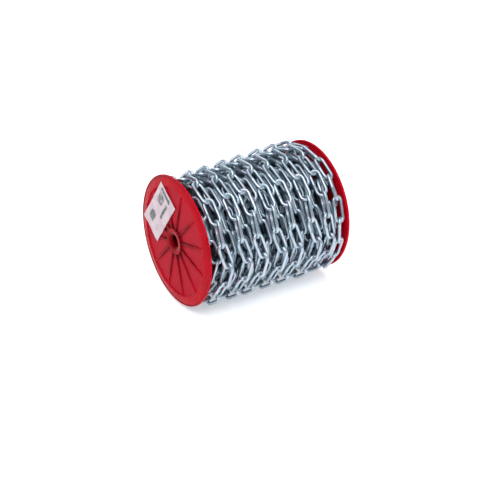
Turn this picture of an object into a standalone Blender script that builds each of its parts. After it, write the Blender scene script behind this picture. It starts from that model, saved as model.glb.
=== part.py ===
"""A moulded plastic reel wound full of welded steel chain, lying on its side.

The reel's axis runs along X, and the origin is on the floor under its middle.
The winding's two outer layers are modelled link by link, with one object for each turn.
The layers beneath them are one core around the barrel, with a ridge for each turn of the third layer.
"""

from math import cos, pi, radians, sin

import bmesh
import bpy
from mathutils import Matrix, Vector

# Reel, in metres
REEL_LENGTH = 0.2362
FLANGE_RADIUS = 0.095
FLANGE_DEPTH = 0.0061
RIM_THICKNESS = 0.0036
BAND_OUTER = 0.083  # beyond this the flange's face slopes back to the thin rim
BAND_INNER = 0.08  # a flat band, level with the ribs, runs from here to the slope
WEB_THICKNESS = 0.0038
RIB_COUNT = 12
RIB_WIDTH = 0.0024
RIB_HEIGHT = 0.0016
FIRST_RIB = radians(15)
ARBOR_RADIUS = 0.009
HUB_RADIUS = 0.019
SPIGOT_LENGTH = 0.008
SPIGOT_WALL = 0.004
BARREL_RADIUS = 0.032
BARREL_WALL = 0.003
GAP = 0.0003

# Paper label on the near flange
LABEL_WIDTH = 0.046
LABEL_LENGTH = 0.091
LABEL_THICKNESS = 0.0004
LABEL_CENTRE = (0.0407, 0.0289)  # towards the back and up from the reel's axis
LABEL_TURN = radians(36.4)  # its long side leans this far from upright, towards the front

# Chain: wire, and the inside length and outside width of a link
WIRE = 0.0049
WIRE_FLAT = 0.0038  # across the flats of the square wire that stands for the round one
LINK_PITCH = 0.032
LINK_WIDTH = 0.0186
WELD_OVERLAP = 0.0006  # how far neighbouring links of a turn are sunk into each other, to be one body
END_SLACK = 0.0014  # how much longer a turn's end links are, to hang free in those of the next turn

# Outer layer: its turns, from the near flange to the far one
AXIS_HEIGHT = 0.09936  # the lowest links touch the floor
TURNS = 8
TURN_SPACING = 0.029
FIRST_TURN = -0.093
LAST_TURN = 0.101
TURN_LINKS = 18
LAST_TURN_LINKS = 14
START_ANGLE = radians(156)
CROSSING_LINKS = 5  # at the back, where the chain steps over to the next turn
# How far each link of a turn is rolled, in degrees: 0 lies flat on the winding and 90 stands on edge. Most
# links lie and stand in turn, and the chain twists a little between those that hook at less than a right angle.
LINK_TIPS = (-45, -100, 5, -80, 12, -40, -94, 10, -74, 10, -80, 8, -52, 52, -45, 52, -56, 62)
SWAY_JOINT = 7  # this joint of each turn has slipped towards the near flange
SWAY = 0.006

# Second layer: its turns lie between the outer ones, half a turn spacing further on
UNDER_TURNS = 6
UNDER_TURN_LINKS = 16
UNDER_LINKS = 90  # the last turn ends where the outer layer crosses over it
UNDER_START = radians(16.75)  # further round than the outer layer's first joint
UNDER_TIPS = (45, -53) * 8
UNDER_LINK_WIDTH = 0.017  # these stand for links of full width, and clear the square outer ones
UNDER_WIRE_FLAT = 0.0034

# Core: the layers below, with a ridge under each outer turn that stops where the turns cross over
CORE_RADIUS = 0.068
RIDGE_RADIUS = 0.0813
RIDGE_FOOT = 0.012
RIDGE_TOP = 0.0115

ROUND_STEPS = 40
CORE_STEPS = 20
BEND_STEPS = 3


def clear_scene():
    for thing in list(bpy.data.objects):
        bpy.data.objects.remove(thing)


def make_material(name, colour, roughness, metallic=0.0):
    material = bpy.data.materials.new(name)
    material.use_nodes = True
    shader = material.node_tree.nodes["Principled BSDF"]
    shader.inputs["Base Color"].default_value = (*colour, 1.0)
    shader.inputs["Roughness"].default_value = roughness
    shader.inputs["Metallic"].default_value = metallic
    return material


def add_object(name, mesh, material=None):
    if material:
        mesh.materials.append(material)
    thing = bpy.data.objects.new(name, mesh)
    bpy.context.scene.collection.objects.link(thing)
    return thing


def mesh_from(name, build):
    """A mesh filled by build(bm), with its faces pointing outwards."""
    bm = bmesh.new()
    build(bm)
    bmesh.ops.recalc_face_normals(bm, faces=bm.faces)
    mesh = bpy.data.meshes.new(name)
    bm.to_mesh(mesh)
    bm.free()
    return mesh


def union(name, first, second, material):
    """One object of two overlapping meshes, joined by a Boolean that is applied at once."""
    base = add_object(name + "_base", first)
    other = add_object(name + "_other", second)
    joining = base.modifiers.new("union", "BOOLEAN")
    joining.operation = "UNION"
    joining.solver = "EXACT"
    joining.object = other
    graph = bpy.context.evaluated_depsgraph_get()
    mesh = bpy.data.meshes.new_from_object(base.evaluated_get(graph))
    for spent in (base, other):
        bpy.data.objects.remove(spent)
    return add_object(name, mesh, material)


def on_drum(angle, radius, x):
    """A point on the winding. The angle is 0 at the front and grows upwards."""
    return Vector((x, -radius * cos(angle), radius * sin(angle)))


def turned(bm, outline_at, steps=ROUND_STEPS):
    """Sweeps a closed outline of (x, radius) points about the reel's axis. It may vary with the angle."""
    rings = []
    for step in range(steps):
        angle = 2 * pi * step / steps
        rings.append([bm.verts.new(on_drum(angle, radius, x)) for x, radius in outline_at(angle)])
    bridge(bm, rings)


def bridge(bm, rings):
    """Joins each ring of vertices to the next one, and the last to the first."""
    for ring, following in zip(rings, rings[1:] + rings[:1]):
        for k in range(len(ring)):
            n = (k + 1) % len(ring)
            bm.faces.new((ring[k], ring[n], following[n], following[k]))


def box(bm, low, high, turn=Matrix.Identity(4)):
    """A box between two corners, then turned."""
    centre = (Vector(low) + Vector(high)) / 2
    size = Vector(high) - Vector(low)
    bmesh.ops.create_cube(bm, size=1, matrix=turn @ Matrix.Translation(centre) @ Matrix.Diagonal((*size, 1)))


def lay_on_axis(thing):
    thing.location.z = AXIS_HEIGHT
    return thing


def make_flange(name, side, material):
    """A moulded disc: sloping rim, band, ribs and hub on its outer face, and a spigot for the barrel."""
    inner = REEL_LENGTH / 2 - FLANGE_DEPTH
    outer = REEL_LENGTH / 2
    web = inner + WEB_THICKNESS
    rib_top = web + RIB_HEIGHT
    spigot_outer = BARREL_RADIUS - BARREL_WALL - GAP
    spigot_inner = spigot_outer - SPIGOT_WALL
    outline = [
        (inner - SPIGOT_LENGTH, spigot_inner),
        (inner - SPIGOT_LENGTH, spigot_outer),
        (inner, spigot_outer),
        (inner, FLANGE_RADIUS),
        (inner + RIM_THICKNESS, FLANGE_RADIUS),
        (rib_top, BAND_OUTER),
        (rib_top, BAND_INNER),
        (web, BAND_INNER),
        (web, HUB_RADIUS),
        (outer, HUB_RADIUS),
        (outer, ARBOR_RADIUS),
        (inner, ARBOR_RADIUS),
        (inner, spigot_inner),
    ]
    disc = mesh_from(name + "_disc", lambda bm: turned(bm, lambda angle: outline))

    def ribs(bm):
        sunk = WEB_THICKNESS / 2
        for k in range(RIB_COUNT):
            turn = Matrix.Rotation(FIRST_RIB + 2 * pi * k / RIB_COUNT, 4, "X")
            low = (web - sunk, HUB_RADIUS - sunk, -RIB_WIDTH / 2)
            high = (rib_top, BAND_INNER + sunk, RIB_WIDTH / 2)
            box(bm, low, high, turn)

    flange = union(name, disc, mesh_from(name + "_ribs", ribs), material)
    if side < 0:
        flange.rotation_euler.z = pi
    return lay_on_axis(flange)


def make_tube(name, half_length, inner, outer, material):
    outline = [(-half_length, inner), (-half_length, outer), (half_length, outer), (half_length, inner)]
    tube = mesh_from(name, lambda bm: turned(bm, lambda angle: outline))
    return lay_on_axis(add_object(name, tube, material))


def turn_places():
    return [min(FIRST_TURN + TURN_SPACING * k, LAST_TURN) for k in range(TURNS)]


def make_core(half_length, material):
    """The hidden layers as one body, ridged under the outer turns except where those cross over."""
    inner = (BARREL_RADIUS + GAP) / cos(pi / CORE_STEPS)
    middles = turn_places()
    crossing = radians(360 / TURN_LINKS) * CROSSING_LINKS
    margin = radians(360 / TURN_LINKS)

    def outline_at(angle):
        after_start = (angle - START_ANGLE + margin) % (2 * pi)
        crest = CORE_RADIUS + (0 if after_start < crossing + 2 * margin else RIDGE_RADIUS - CORE_RADIUS)
        points = [(-half_length, inner), (-half_length, CORE_RADIUS)]
        for x in middles:
            points += [
                (x - RIDGE_FOOT / 2, CORE_RADIUS),
                (x - RIDGE_TOP / 2, crest),
                (x + RIDGE_TOP / 2, crest),
                (x + RIDGE_FOOT / 2, CORE_RADIUS),
            ]
        return points + [(half_length, CORE_RADIUS), (half_length, inner)]

    core = mesh_from("chain_core", lambda bm: turned(bm, outline_at, CORE_STEPS))
    return lay_on_axis(add_object("chain_core", core, material))


def make_label(material):
    """A paper label stuck across the ribs and band of the near flange, level with its hub."""
    seat = REEL_LENGTH / 2 - FLANGE_DEPTH + WEB_THICKNESS + RIB_HEIGHT + GAP
    half = Vector((LABEL_THICKNESS, LABEL_WIDTH, LABEL_LENGTH)) / 2
    label = add_object("label", mesh_from("label", lambda bm: box(bm, -half, half)), material)
    back, up = LABEL_CENTRE
    label.location = (-seat - LABEL_THICKNESS / 2, back, AXIS_HEIGHT + up)
    label.rotation_euler.x = LABEL_TURN
    return label


def layer_joints(places, turn_links, count, start=0.0):
    """Where a layer's links hook into each other, from high at the back, down the front and round.

    The last part of each turn, as long as CROSSING_LINKS outer links, leads over to the next turn. The chain
    dips there, because a slanting link covers less of the turn, and the dip keeps the same count of links in
    every turn.
    """
    step = 2 * pi / turn_links
    crossing = 2 * pi * CROSSING_LINKS / TURN_LINKS
    joints = []
    for k in range(count + 1):
        travelled = start + k * step
        turn = min(int(travelled / (2 * pi) + 1e-6), len(places) - 1)
        stride = places[min(turn + 1, len(places) - 1)] - places[turn]
        share = 1 - (2 * pi * (turn + 1) - travelled) / crossing
        share = min(1.0, max(0.0, share))
        slope = 6 * share * (1 - share) * stride * step / crossing
        radius = (LINK_PITCH**2 - slope**2) ** 0.5 / 2 / sin(step / 2)
        x = places[turn] + stride * share * share * (3 - 2 * share)
        joints.append(on_drum(START_ANGLE - travelled, radius, x))
    return joints


def link_frame(start, end, roll):
    """The place of a link between two joints. Its own X runs along the chain and its Z is its flat side."""
    along = (end - start).normalized()
    middle = (start + end) / 2
    outward = Vector((0, middle.y, middle.z))
    outward = (outward - along * outward.dot(along)).normalized()
    sideways = outward.cross(along)
    flat = outward * cos(roll) + sideways * sin(roll)
    return Matrix.Translation(middle) @ Matrix((along, flat.cross(along), flat)).transposed().to_4x4()


def add_link(bm, frame, link_width, wire_flat, sunk_back, sunk_ahead):
    """A welded link of square wire: two straight sides, and two round ends sunk into its neighbours."""
    half_width = (link_width - WIRE) / 2
    half_wire = Vector((0, 0, wire_flat / 2))
    inner_reach = (half_width - wire_flat / 2) * cos(pi / 2 / BEND_STEPS)
    rings = []
    for end, sunk in ((1, sunk_ahead), (-1, sunk_back)):
        half_straight = (LINK_PITCH - sunk) / 2 - inner_reach
        for step in range(BEND_STEPS + 1):
            angle = -pi / 2 + pi * step / BEND_STEPS
            out = Vector((cos(angle), sin(angle), 0)) * end
            centre = out * half_width + Vector((half_straight * end, 0, 0))
            rim = out * wire_flat / 2
            corners = (rim - half_wire, rim + half_wire, half_wire - rim, -rim - half_wire)
            rings.append([bm.verts.new(frame @ (centre + corner)) for corner in corners])
    bridge(bm, rings)


def make_turn(name, joints, tips, link_width, wire_flat, material):
    """One turn of chain as one body. Odd and even links never touch their own kind, so each kind is a mesh."""
    last = len(joints) - 2

    def kind(parity):
        def build(bm):
            for k in range(parity, last + 1, 2):
                sunk_back = WELD_OVERLAP if k > 0 else -END_SLACK
                sunk_ahead = WELD_OVERLAP if k < last else -END_SLACK
                frame = link_frame(joints[k], joints[k + 1], radians(tips[k]))
                add_link(bm, frame, link_width, wire_flat, sunk_back, sunk_ahead)

        return mesh_from(f"{name}_links_{parity}", build)

    return lay_on_axis(union(name, kind(0), kind(1), material))


def make_outer_layer(material):
    joints = layer_joints(turn_places(), TURN_LINKS, TURN_LINKS * (TURNS - 1) + LAST_TURN_LINKS)
    for joint in joints[SWAY_JOINT::TURN_LINKS]:
        joint.x -= SWAY
    for k in range(TURNS):
        first = TURN_LINKS * k
        turn = joints[first:first + TURN_LINKS + 1]
        make_turn(f"chain_turn_{k + 1}", turn, LINK_TIPS, LINK_WIDTH, WIRE_FLAT, material)


def make_second_layer(material):
    places = [FIRST_TURN + TURN_SPACING * (k + 0.5) for k in range(UNDER_TURNS)]
    joints = layer_joints(places, UNDER_TURN_LINKS, UNDER_LINKS, UNDER_START)
    for k in range(UNDER_TURNS):
        first = UNDER_TURN_LINKS * k
        turn = joints[first:first + UNDER_TURN_LINKS + 1]
        make_turn(f"chain_under_{k + 1}", turn, UNDER_TIPS, UNDER_LINK_WIDTH, UNDER_WIRE_FLAT, material)


def main():
    clear_scene()
    red = make_material("red_plastic", (0.60, 0.012, 0.022), 0.35)
    paper = make_material("label_paper", (0.82, 0.80, 0.80), 0.6)
    steel = make_material("zinc_plated_steel", (0.62, 0.66, 0.68), 0.3, 1.0)
    half_between = REEL_LENGTH / 2 - FLANGE_DEPTH - GAP
    make_flange("flange_near", -1, red)
    make_flange("flange_far", 1, red)
    make_tube("barrel", half_between, BARREL_RADIUS - BARREL_WALL, BARREL_RADIUS, red)
    make_core(half_between, steel)
    make_label(paper)
    make_second_layer(steel)
    make_outer_layer(steel)


main()
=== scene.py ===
from math import atan2, cos, degrees, hypot, pi, radians, remainder, sin, sqrt
from random import Random

import bmesh
import bpy
from mathutils import Matrix, Vector


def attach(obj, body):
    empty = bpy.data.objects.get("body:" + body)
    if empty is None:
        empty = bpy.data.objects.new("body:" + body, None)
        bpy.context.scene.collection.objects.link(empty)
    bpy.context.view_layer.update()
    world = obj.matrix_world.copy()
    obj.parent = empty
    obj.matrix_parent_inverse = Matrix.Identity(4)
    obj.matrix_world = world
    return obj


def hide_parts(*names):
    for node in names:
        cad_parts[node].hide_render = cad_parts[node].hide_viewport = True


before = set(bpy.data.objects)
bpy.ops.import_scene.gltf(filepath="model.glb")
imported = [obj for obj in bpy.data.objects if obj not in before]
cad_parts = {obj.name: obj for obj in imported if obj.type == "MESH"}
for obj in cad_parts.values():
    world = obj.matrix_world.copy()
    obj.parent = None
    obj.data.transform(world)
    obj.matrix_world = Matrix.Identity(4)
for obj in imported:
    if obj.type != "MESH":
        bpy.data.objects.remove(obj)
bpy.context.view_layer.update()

# Camera
# The reel is looked at from in front of its labelled end and a little above, through a long lens. The small
# shift puts it where the photograph has it in the frame.
axis_height = 0.09936
look_down = radians(26.63)
look_round = radians(-32.13)
camera_distance = 1.993
towards_camera = Vector((sin(look_round) * cos(look_down), -cos(look_round) * cos(look_down), sin(look_down)))
bpy.ops.object.camera_add(
    location=Vector((0, 0, axis_height)) + camera_distance * towards_camera,
    rotation=(pi / 2 - look_down, 0, look_round),
)
camera = bpy.context.object
camera.name = "camera"
camera.data.sensor_width = 36
camera.data.lens = 100.2
camera.data.shift_x = 0.0092
camera.data.shift_y = -0.0574
bpy.context.scene.camera = camera


# Studio
# A wide pale floor, faintly lit from beneath, under soft lamps. The room is dark between the lamps and the
# floor, because bright zinc needs something dark to mirror before its wires stand apart.
class Signal:
    """A socket of a node tree. Sums, differences and products of signals add Math nodes."""

    def __init__(self, tree, socket):
        self.tree = tree
        self.socket = socket

    def node(self, kind, inputs, output=0, **settings):
        """Adds a node: its settings first, then a value or a signal for each socket that is named."""
        made = self.tree.nodes.new("ShaderNode" + kind)
        for name, value in settings.items():
            setattr(made, name, value)
        for name, value in inputs.items():
            if isinstance(value, Signal):
                self.tree.links.new(value.socket, made.inputs[name])
            else:
                made.inputs[name].default_value = value
        return Signal(self.tree, made.outputs[output])

    def maths(self, operation, first, second):
        return self.node("Math", {0: first, 1: second}, operation=operation)

    def __add__(self, other):
        return self.maths("ADD", self, other)

    def __sub__(self, other):
        return self.maths("SUBTRACT", self, other)

    def __rsub__(self, other):
        return self.maths("SUBTRACT", other, self)

    def __mul__(self, other):
        return self.maths("MULTIPLY", self, other)

    def __pow__(self, power):
        return self.maths("POWER", self, power)

    def __abs__(self):
        return self.maths("ABSOLUTE", self, 0)

    __radd__ = __add__
    __rmul__ = __mul__

    def part(self, number):
        """The X, Y or Z of a vector, as 0, 1 or 2."""
        return self.node("SeparateXYZ", {"Vector": self}, output=number)

    def rise(self, low, high):
        """Goes smoothly from 0 to 1 as the signal goes from low to high."""
        ends = {"Value": self, "From Min": low, "From Max": high}
        return self.node("MapRange", ends, interpolation_type="SMOOTHSTEP")

    def blend(self, first, second):
        """The first colour where the signal is 0, and the second where it is 1."""
        return self.node("Mix", {0: self, 6: first, 7: second}, output=2, data_type="RGBA")

    def feed(self, shader, name):
        self.tree.links.new(self.socket, shader.inputs[name])


bpy.context.scene.view_settings.view_transform = "Standard"
studio = bpy.data.worlds.new("studio")
bpy.context.scene.world = studio
studio.use_nodes = True
backdrop = studio.node_tree.nodes["Background"]
direction = Signal(studio.node_tree, studio.node_tree.nodes.new("ShaderNodeTexCoord").outputs["Generated"])
height = direction.part(2)
low_glow = height.rise(0.14, 0.0) * 0.75
high_glow = height.rise(0.5, 0.9) * 0.9
bright_air = (0.93, 0.97, 1.0, 1)
(low_glow + high_glow).rise(0, 1).blend((0.12, 0.17, 0.22, 1), bright_air).feed(backdrop, "Color")

bpy.ops.mesh.primitive_plane_add(size=24)
ground = bpy.context.object
ground.name = "ground"
pale = bpy.data.materials.new("pale_floor")
pale.use_nodes = True
floor_shader = pale.node_tree.nodes["Principled BSDF"]
floor_shader.inputs["Base Color"].default_value = (0.9, 0.9, 0.9, 1)
floor_shader.inputs["Roughness"].default_value = 0.9
floor_shader.inputs["Emission Color"].default_value = bright_air
floor_shader.inputs["Emission Strength"].default_value = 0.45
ground.data.materials.append(pale)


def hang_lamp(name, place, size, power):
    """A square soft box that faces the reel."""
    facing = (Vector(place) - Vector((0, 0, axis_height))).to_track_quat("Z", "Y")
    bpy.ops.object.light_add(type="AREA", location=place, rotation=facing.to_euler())
    lamp = bpy.context.object
    lamp.name = name
    lamp.data.size = size
    lamp.data.energy = power


hang_lamp("key_lamp", (-1.3, -1.5, 2.0), 1.1, 14)
hang_lamp("side_lamp", (1.9, -1.3, 1.3), 0.9, 10)
hang_lamp("back_lamp", (0.2, 1.9, 1.7), 1.2, 16)
bpy.ops.object.light_add(type="SUN", rotation=(radians(18), radians(-12), 0))
bpy.context.object.name = "ceiling_lamp"
bpy.context.object.data.energy = 1.8
bpy.context.object.data.angle = radians(60)

# Flanges
# Two discs of glossy red plastic, injection moulded. Each has a thin sloping rim with a fine lip, a flat
# band, twelve low ribs between the band and the hub, and on its inner face a spigot for the barrel.
flange_face = 0.112  # the inner face, from the reel's middle; the planes below are measured from it
web_plane = 0.0038
rib_plane = 0.0054
hub_plane = 0.0061
flange_radius = 0.095
slope_inner = 0.083
band_inner = 0.08
hub_radius = 0.019
arbor_radius = 0.009
spigot_length = 0.008
spigot_outer = 0.0287
spigot_inner = 0.0247
rib_count = 12
rib_step = 2 * pi / rib_count
first_rib = radians(15)


def start_material(name, roughness=0.5, metallic=0.0):
    """A material's shader, and the piece's own coordinates in metres."""
    material = bpy.data.materials.new(name)
    material.use_nodes = True
    shader = material.node_tree.nodes["Principled BSDF"]
    shader.inputs["Roughness"].default_value = roughness
    shader.inputs["Metallic"].default_value = metallic
    place = material.node_tree.nodes.new("ShaderNodeTexCoord").outputs["Object"]
    return material, shader, Signal(material.node_tree, place)


def noise(place, scale, detail):
    return place.node("TexNoise", {"Vector": place, "Scale": scale, "Detail": detail})


def from_axis(place):
    """The distance from the reel's axis."""
    back = place.part(1)
    up = place.part(2) - axis_height
    return (back * back + up * up) ** 0.5


def from_rib(place):
    """The distance round the axis from the nearest rib."""
    angle = place.part(1).maths("ARCTAN2", place.part(2) - axis_height, place.part(1))
    share = angle.maths("FRACT", (angle - first_rib) * (1 / rib_step) + rib_count, 0)
    return (0.5 - abs(share - 0.5)) * from_axis(place) * rib_step


red_plastic, shader, place = start_material("red_plastic")
shader.inputs["Specular IOR Level"].default_value = 0.03
radius = from_axis(place)
side = abs(place.part(0))
on_web = side.rise(flange_face + 0.0046, flange_face + 0.0039)
pocket = on_web * radius.rise(0.018, hub_radius) * radius.rise(0.081, band_inner)
clouds = noise(place, 38, 3)
scuffs = noise(place, 700, 4).rise(0.56, 0.70) * radius.rise(0.0925, flange_radius)
base = clouds.rise(0.3, 0.7).blend((0.39, 0.001, 0.008, 1), (0.465, 0.001, 0.011, 1))
base = (pocket * 0.8).blend(base, (0.41, 0.0045, 0.0175, 1))
# painted light: the flange's inner face is painted a lighter red than the rest
inner_face_painted_light = side.rise(flange_face + 0.0012, flange_face + 0.0002)
base = inner_face_painted_light.blend(base, (0.60, 0.002, 0.014, 1))
# painted shade: darker red along both sides of each rib
rib_painted_shade = from_rib(place).rise(0.0080, 0.0008) * radius.rise(band_inner, 0.050) * radius.rise(0.018, 0.020)
# painted shade: a dark line along the inside of the rim's lip
rim_painted_shade = radius.rise(0.0912, 0.0924) * radius.rise(0.0942, 0.0934)
# painted shade: darker round the hub and in the dish round the arbor hole
hub_painted_shade = radius.rise(0.034, 0.017) * 0.45 + radius.rise(0.0130, 0.0115) * 0.4
shade = rib_painted_shade * 0.6 + rim_painted_shade * 0.65 + hub_painted_shade
base = shade.rise(0, 1).blend(base, (0.13, 0.0, 0.003, 1))
(scuffs * 0.5).blend(base, (0.62, 0.10, 0.13, 1)).feed(shader, "Base Color")
(0.24 + pocket * 0.16 + scuffs * 0.2 + clouds * 0.06).feed(shader, "Roughness")
grain = noise(place, 1500, 2) * pocket * 0.5 + noise(place, 160, 2)
place.node("Bump", {"Height": grain, "Strength": 0.25, "Distance": 0.0003}).feed(shader, "Normal")


def pick(wanted):
    """In edit mode, selects just the faces that pass the test."""
    bpy.ops.mesh.select_all(action="DESELECT")
    shape = bmesh.from_edit_mesh(bpy.context.object.data)
    for face in shape.faces:
        if wanted(face):
            face.select_set(True)
    bmesh.update_edit_mesh(bpy.context.object.data)


def edit(thing):
    bpy.ops.object.select_all(action="DESELECT")
    thing.select_set(True)
    bpy.context.view_layer.objects.active = thing
    bpy.ops.object.mode_set(mode="EDIT")


def finish_edit(crease=35):
    """Closes the shape, turns its faces outwards and moves its origin to the frame's."""
    bpy.ops.mesh.select_all(action="SELECT")
    bpy.ops.mesh.remove_doubles(threshold=0.00001)
    bpy.ops.mesh.normals_make_consistent(inside=False)
    bpy.ops.object.mode_set(mode="OBJECT")
    bpy.ops.object.transform_apply(location=True, rotation=True, scale=True)
    bpy.ops.object.shade_smooth_by_angle(angle=radians(crease))
    return bpy.context.object


def extrude_round(outline):
    """Extrudes a ring about the reel's axis along an outline of (x, radius) points, from its first."""
    for (x, radius), (next_x, next_radius) in zip(outline, outline[1:]):
        bpy.ops.mesh.extrude_edges_move(TRANSFORM_OT_translate={"value": (next_x - x, 0, 0)})
        share = next_radius / radius
        bpy.ops.transform.resize(value=(1, share, share), center_override=(next_x, 0, axis_height))


flange_outline = [
    (-spigot_length, spigot_inner),
    (-spigot_length, spigot_outer),
    (0, spigot_outer),
    (0, 0.0942),  # from here round the rim and its lip
    (0.0006, flange_radius),
    (0.0030, flange_radius),
    (0.0036, 0.0944),
    (0.0036, 0.0936),
    (0.0030, 0.0930),
    (rib_plane, slope_inner),
    (rib_plane, band_inner),
    (web_plane, band_inner - 0.0006),
    (web_plane, hub_radius + 0.0006),
    (hub_plane, hub_radius),
    (hub_plane, 0.0128),  # the edge of the dish round the arbor hole
    (0.0038, 0.0094),
    (0.0036, arbor_radius),
    (0, arbor_radius),
    (0, spigot_inner),
    (-spigot_length, spigot_inner),
]
flange_outline = [(flange_face + x, radius) for x, radius in flange_outline]
bpy.ops.mesh.primitive_circle_add(
    vertices=144,
    radius=flange_outline[0][1],
    location=(flange_outline[0][0], 0, axis_height),
    rotation=(0, pi / 2, 0),
)
far_flange = bpy.context.object
far_flange.name = "far_flange"
edit(far_flange)
bpy.ops.mesh.select_all(action="SELECT")
extrude_round(flange_outline)
finish_edit()


def round_edges(thing, width):
    """Rounds every edge that is sharper than 35 degrees."""
    bpy.context.view_layer.objects.active = thing
    rounding = thing.modifiers.new("rounding", "BEVEL")
    rounding.width = width
    rounding.segments = 2
    rounding.limit_method = "ANGLE"
    rounding.angle_limit = radians(35)
    bpy.ops.object.modifier_apply(modifier="rounding")


round_edges(far_flange, 0.0003)

rib_depth = 0.003  # from its top to its foot, which is sunk into the web
rib_foot_width = 0.0032
rib_taper = 0.45
rib_length = band_inner - hub_radius + 0.001
rib_middle = axis_height + (hub_radius + band_inner) / 2
bpy.ops.mesh.primitive_cube_add(size=1, location=(flange_face + rib_plane - rib_depth / 2, 0, rib_middle))
rib = bpy.context.object
edit(rib)
bpy.ops.transform.resize(value=(rib_depth, rib_foot_width, rib_length))
pick(lambda face: face.normal.x > 0.9)
bpy.ops.transform.resize(value=(1, rib_taper, 1))
finish_edit()
round_edges(rib, 0.0004)
to_axis = Matrix.Translation((0, 0, axis_height))
ribs = []
for number in range(rib_count):
    ribs.append(rib.copy())
    ribs[-1].data = rib.data.copy()
    turned = Matrix.Rotation(first_rib + number * rib_step, 4, "X")
    ribs[-1].data.transform(to_axis @ turned @ to_axis.inverted())
    bpy.context.scene.collection.objects.link(ribs[-1])
bpy.data.objects.remove(rib)
bpy.ops.object.select_all(action="DESELECT")
for part in ribs + [far_flange]:
    part.select_set(True)
bpy.context.view_layer.objects.active = far_flange
bpy.ops.object.join()
bpy.ops.object.shade_smooth_by_angle(angle=radians(35))
far_flange.data.materials.append(red_plastic)

near_flange = far_flange.copy()
near_flange.name = "near_flange"
near_flange.data = far_flange.data.copy()
near_flange.data.transform(Matrix.Rotation(pi, 4, "Z"))
bpy.context.scene.collection.objects.link(near_flange)
for flange, node in ((far_flange, "flange_far"), (near_flange, "flange_near")):
    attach(flange, "root")
    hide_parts(node)

# Barrel
# The red tube that the chain is wound on. It is pushed over both spigots and hidden by the winding.
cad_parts["barrel"].material_slots[0].material = red_plastic

# Label
# A coated paper label, stuck across the ribs, so it dips a little between them. Its grey print is worn to
# plain smudges.
label_middle = Vector((-0.1177, 0.0407, axis_height + 0.0289))
label_lean = radians(36.4)
label_width = 0.046
label_length = 0.091
label_dip = 0.0006
paper_thickness = 0.0002

label_paper, shader, place = start_material("label_paper", roughness=0.42)
back = place.part(1) - label_middle.y
up = place.part(2) - label_middle.z
across = back * cos(label_lean) + up * sin(label_lean)
along = up * cos(label_lean) - back * sin(label_lean)


def patch(left, right, bottom, top, soft=0.002):
    """1 inside a soft-edged rectangle of the label, and 0 outside it."""
    sideways = across.rise(left - soft, left + soft) * across.rise(right + soft, right - soft)
    return sideways * along.rise(bottom - soft, bottom + soft) * along.rise(top + soft, top - soft)


mottle = noise(place, 260, 4).rise(0.35, 0.65)
smudges = patch(0.001, 0.016, 0.012, 0.032, 0.003) * 0.7 + patch(0.002, 0.014, -0.031, -0.012, 0.004)
streaks = patch(-0.0100, -0.0050, -0.006, 0.028) + patch(-0.010, 0.017, 0.0345, 0.0415)
faint = patch(-0.014, -0.006, -0.036, -0.020) * 0.3
grey = ((smudges + streaks + faint) * (0.6 + mottle * 0.6)).rise(0.05, 0.85)
paper = noise(place, 60, 3).rise(0.3, 0.7).blend((0.50, 0.37, 0.40, 1), (0.62, 0.49, 0.52, 1))
grey.blend(paper, (0.05, 0.06, 0.065, 1)).feed(shader, "Base Color")
fibres = noise(place, 900, 3)
place.node("Bump", {"Height": fibres, "Strength": 0.1, "Distance": 0.0002}).feed(shader, "Normal")

bpy.ops.mesh.primitive_plane_add(size=1, rotation=(0, -pi / 2, 0))
label = bpy.context.object
label.name = "paper_label"
bpy.ops.object.transform_apply(location=True, rotation=True, scale=True)
edit(label)
bpy.ops.transform.resize(value=(1, label_width, label_length))
bpy.ops.mesh.subdivide(number_cuts=47)
bpy.ops.object.mode_set(mode="OBJECT")
label.data.transform(Matrix.Translation(label_middle) @ Matrix.Rotation(label_lean, 4, "X"))
for vertex in label.data.vertices:
    back = vertex.co.y
    up = vertex.co.z - axis_height
    off_rib = ((atan2(up, back) - first_rib) % rib_step) / rib_step
    beside = hypot(back, up) * rib_step * min(off_rib, 1 - off_rib)
    dip = min(1, max(0, beside - 0.002) / 0.008)
    inside = min(1, max(0, band_inner - hypot(back, up)) / 0.004)
    vertex.co.x += label_dip * dip * dip * (3 - 2 * dip) * inside
sheet = label.modifiers.new("paper", "SOLIDIFY")
sheet.thickness = paper_thickness
sheet.offset = 0
bpy.context.view_layer.objects.active = label
bpy.ops.object.modifier_apply(modifier="paper")
edit(label)
finish_edit()
label.data.materials.append(label_paper)
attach(label, "root")
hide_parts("label")

# Links
# Straight-link chain of 4.9 mm steel wire. Each link is cut, bent to an oval round its neighbour and butt
# welded in the middle of one side, which leaves a small collar there. The chain is then zinc plated.
wire = 0.0049
pitch = 0.032
link_width = 0.0186
rail = (link_width - wire) / 2  # from a link's middle line to the middle of the wire beside it
slack = 0.0002  # how much longer a link is than its pitch needs

zinc_plate, shader, place = start_material("zinc_plate", metallic=1.0)
# each link's tone and painted shade: a random tone on the outer turns, lower values as painted shade on
# deeper layers, and below zero a near-black painted shadow; painted shade also makes the plate darker, teal,
# rougher and less metallic
tone_and_shade = place.node("Attribute", {}, output=2, attribute_name="link_tone_and_shade")
film = noise(place, 110, 2)
warm = film.rise(0.50, 0.68) * tone_and_shade
cool = film.rise(0.46, 0.30) * tone_and_shade
plate = tone_and_shade.blend((0.06, 0.13, 0.18, 1), (0.48, 0.55, 0.62, 1))
plate = (warm * 0.5).blend(plate, (0.62, 0.50, 0.56, 1))
plate = (cool * 0.5).blend(plate, (0.38, 0.56, 0.52, 1))
plate = tone_and_shade.rise(0, -0.8).blend(plate, (0.004, 0.006, 0.008, 1))
plate.feed(shader, "Base Color")
tone_and_shade.rise(-0.5, 0.6).feed(shader, "Metallic")
drawn = noise(place, 900, 3)
(0.28 + drawn * 0.16 + (1 - tone_and_shade) * 0.12).feed(shader, "Roughness")
place.node("Bump", {"Height": drawn, "Strength": 0.15, "Distance": 0.0002}).feed(shader, "Normal")


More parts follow.
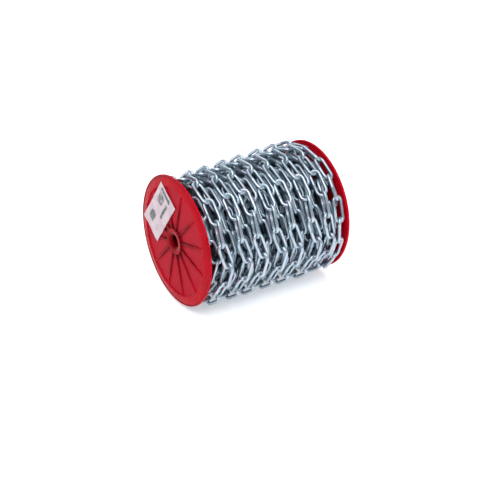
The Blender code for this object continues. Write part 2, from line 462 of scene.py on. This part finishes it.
def model_link(sides, bend_steps, stations):
    """One link in the plane of X and Y, round the origin. Stations are (x, swell) along its welded side."""
    straight = (pitch + slack + wire) / 2 - rail
    bpy.ops.mesh.primitive_circle_add(
        vertices=sides, radius=wire / 2, location=(-straight, -rail, 0), rotation=(0, pi / 2, 0)
    )
    link = bpy.context.object
    edit(link)
    bpy.ops.mesh.select_all(action="SELECT")
    at, girth = -straight, 1
    for x, swell in stations + [(straight, 1)]:
        bpy.ops.mesh.extrude_edges_move(TRANSFORM_OT_translate={"value": (x - at, 0, 0)})
        bpy.ops.transform.resize(value=(1, swell / girth, swell / girth), center_override=(x, -rail, 0))
        at, girth = x, swell
    bpy.ops.mesh.spin(steps=bend_steps, angle=-pi, center=(straight, 0, 0), axis=(0, 0, 1))
    bpy.ops.mesh.extrude_edges_move(TRANSFORM_OT_translate={"value": (-2 * straight, 0, 0)})
    bpy.ops.mesh.spin(steps=bend_steps, angle=-pi, center=(-straight, 0, 0), axis=(0, 0, 1))
    return finish_edit(crease=80)


weld_collar = [(-0.0014, 1), (-0.0007, 1.13), (0.0007, 1.13), (0.0014, 1)]
outer_link = model_link(8, 6, weld_collar)
plain_link = model_link(6, 4, [])


# Winding
# The chain is wound in layers from the barrel outwards. Its links hook at about a right angle, and the chain
# twists as it goes, so they lie flat, stand on edge or lean. It steps over to the next turn at the back.
first_joint = radians(156)
crossing_start = radians(260)  # this far round a turn the chain begins to step over to the next
crossing = radians(100)


def on_drum(angle, radius, x):
    """A point round the reel's axis. The angle is 0 at the front and grows upwards."""
    return Vector((x, -radius * cos(angle), axis_height + radius * sin(angle)))


def slip(x, angle):
    """How far the chain lies aside: to the near flange behind its top, and to the far one below its front."""
    below = -degrees(remainder(angle, 2 * pi))
    slips = [  # degrees below the front, and metres along the axis
        (-180, -0.002), (-156, -0.004), (-126, -0.005), (-106, -0.0035), (-86, -0.001), (-66, 0),
        (-36, 0), (-16, -0.001), (4, 0.0095), (24, 0.006), (124, 0), (160, 0), (180, -0.002),
    ]
    for (above, first), (under, second) in zip(slips, slips[1:]):
        if above <= below <= under:
            moved = first + (second - first) * (below - above) / (under - above)
            room = (x + 0.1) / 0.02 if moved < 0 else (0.101 - x) / 0.04  # none is left beside a flange
            return moved * min(1, max(0, room))


def sink(x, angle):
    """How far the winding has sunk behind its top. It has sunk most by the near flange."""
    above = degrees(angle) % 360
    share = min(1, max(0, (above - 80) / 30)) * min(1, max(0, (180 - above) / 40))
    deepest = 0.0006 + 0.054 * max(0, 0.101 - x)
    return deepest * share


def wind(turns, links_in_turn, count, shift=0.0):
    """The joints of one layer, which starts high at the back and comes down the front of each turn."""
    step = 2 * pi / links_in_turn
    joints = []
    for number in range(count + 1):
        travelled = shift + number * step
        turn = min(int(travelled / (2 * pi) + 0.000001), len(turns) - 1)
        stride = turns[min(turn + 1, len(turns) - 1)] - turns[turn]
        share = (travelled - 2 * pi * turn - crossing_start) / crossing
        share = min(1, max(0, share))
        slope = 6 * share * (1 - share) * stride * step / crossing
        reach = sqrt(pitch**2 - slope**2) / 2 / sin(step / 2)
        x = turns[turn] + stride * share * share * (3 - 2 * share)
        angle = first_joint - travelled
        joints.append(on_drum(angle, reach - sink(x, angle), x + slip(x, angle)))
    return joints


def lay_link(pattern, start, end, roll, tone_and_shade):
    """A copy of a link between two joints, rolled about the chain's own direction."""
    along = (end - start).normalized()
    middle = (start + end) / 2
    outward = Vector((0, middle.y, middle.z - axis_height))
    outward = (outward - along * outward.dot(along)).normalized()
    flat = outward * cos(roll) + outward.cross(along) * sin(roll)
    aligned = Matrix((along, flat.cross(along), flat)).transposed().to_4x4()
    link = pattern.copy()
    link.data = pattern.data.copy()
    link.data.transform(Matrix.Translation(middle) @ aligned)
    shade = link.data.attributes.new("link_tone_and_shade", "FLOAT", "POINT")
    shade.data.foreach_set("value", [tone_and_shade] * len(link.data.vertices))
    bpy.context.scene.collection.objects.link(link)
    return link


def join_chain(name, links, *nodes):
    """Makes one piece of the links, plates it and puts it in the place of its solids."""
    bpy.ops.object.select_all(action="DESELECT")
    for link in links:
        link.select_set(True)
    bpy.context.view_layer.objects.active = links[0]
    bpy.ops.object.join()
    links[0].name = name
    links[0].data.materials.append(zinc_plate)
    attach(links[0], "root")
    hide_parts(*nodes)


chance = Random(5)
turn_places = [-0.093, -0.062, -0.0365, -0.0053, 0.0214, 0.0533, 0.081, 0.101]
turn_links = 18
last_turn_links = 14
# each link's roll about the chain, in degrees: 0 lies flat on the drum and 90 stands on edge
turn_tips = (-45, -98, 5, -70, 12, -38, -94, 10, -71, 10, -78, 8, -50, 52, -45, 52, -56, 60)
tips = turn_tips * 7 + (8, 50) * 7
joints = wind(turn_places, turn_links, turn_links * 7 + last_turn_links)
# below the front of the seventh turn the chain draws in, so that the last turn sits further round
draw_from, draw_to = 116, 126
drawn_in = 0.964  # the share of its radius that each joint between those two keeps
further_round = radians(7.5)
for number, joint in enumerate(joints):
    reach = hypot(joint.y, joint.z - axis_height)
    late = min(1, max(0, (number - draw_from) / (draw_to - draw_from)))
    if 0 < late < 1:
        reach *= drawn_in
    angle = atan2(joint.z - axis_height, -joint.y) - further_round * late
    joint.yz = on_drum(angle, reach, 0).yz
for turn in range(8):
    links = []
    for number in range(turn_links * turn, min(turn_links * (turn + 1), len(joints) - 1)):
        roll = radians(tips[number] + chance.uniform(-2, 2))
        tone_and_shade = chance.uniform(0.7, 1)
        links.append(lay_link(outer_link, joints[number], joints[number + 1], roll, tone_and_shade))
    join_chain(f"outer_turn_{turn + 1}", links, f"chain_turn_{turn + 1}")

# Layers beneath
# Six more layers of the same chain, down to the barrel. Each lies in the hollows of the one above it, and the
# deeper ones are painted darker, as painted shade for the little light that gets down to them.
beneath = [
    # turns at an even step, the step, the first and the last turn's place, links in a turn, links in all,
    # the two rolls that take turns, painted brightness for shade of depth, and the link where the chain
    # begins to twist a quarter turn
    (6, 0.029, -0.0785, 0.0885, 16, 106, (45, -53), 0.85, 106),
    (7, 0.029, -0.093, 0.1025, 15.15, 118, (52, -38), 0.6, 100),
    (8, 0.022, -0.0900, 0.0860, 13.2, 117, (38, -52), 0.35, 117),
    (9, 0.022, -0.1010, 0.0970, 12.35, 120, (52, -38), 0.2, 120),
    (9, 0.0205, -0.0930, 0.0930, 10.4, 102, (38, -52), 0.1, 102),
    (9, 0.0205, -0.1030, 0.0820, 9.6, 94, (52, -38), 0.1, 94),
]
further_on = radians(16.75)  # these layers start further round than the outer one
flange_shadow = -0.088  # links nearer the near flange than this are painted near black, as painted shadow of the flange
beside_flange = -0.103
lit_below = axis_height + 0.07
for depth, (turns, step, first, last, links_in_turn, count, rolls, painted_brightness, twist) in enumerate(beneath, 2):
    places = [first + step * number for number in range(turns)] + [last]
    if depth == 3:  # this layer's first turn fills the gap beside the near flange, and in front its links are painted bright, as painted light
        places[0] = beside_flange
    joints = wind(places, links_in_turn, count, shift=further_on)
    links = []
    for number, (start, end) in enumerate(zip(joints, joints[1:])):
        twisted = min(1, max(0, (number - twist) / 6))
        roll = radians(rolls[number % 2] + 90 * twisted + chance.uniform(-1, 1))
        if end.x > flange_shadow:
            tone_and_shade = (painted_brightness + 0.3 * twisted) * chance.uniform(0.7, 1)
        elif depth == 3 and end.y < 0 and end.z < lit_below:
            tone_and_shade = chance.uniform(0.7, 1)
        else:
            tone_and_shade = -0.6
        links.append(lay_link(plain_link, start, end, roll, tone_and_shade))
    nodes = [f"chain_under_{turn}" for turn in range(1, 7)] if depth == 2 else ["chain_core"]
    join_chain(f"layer_{depth}", links, *nodes)
bpy.data.objects.remove(outer_link)
bpy.data.objects.remove(plain_link)
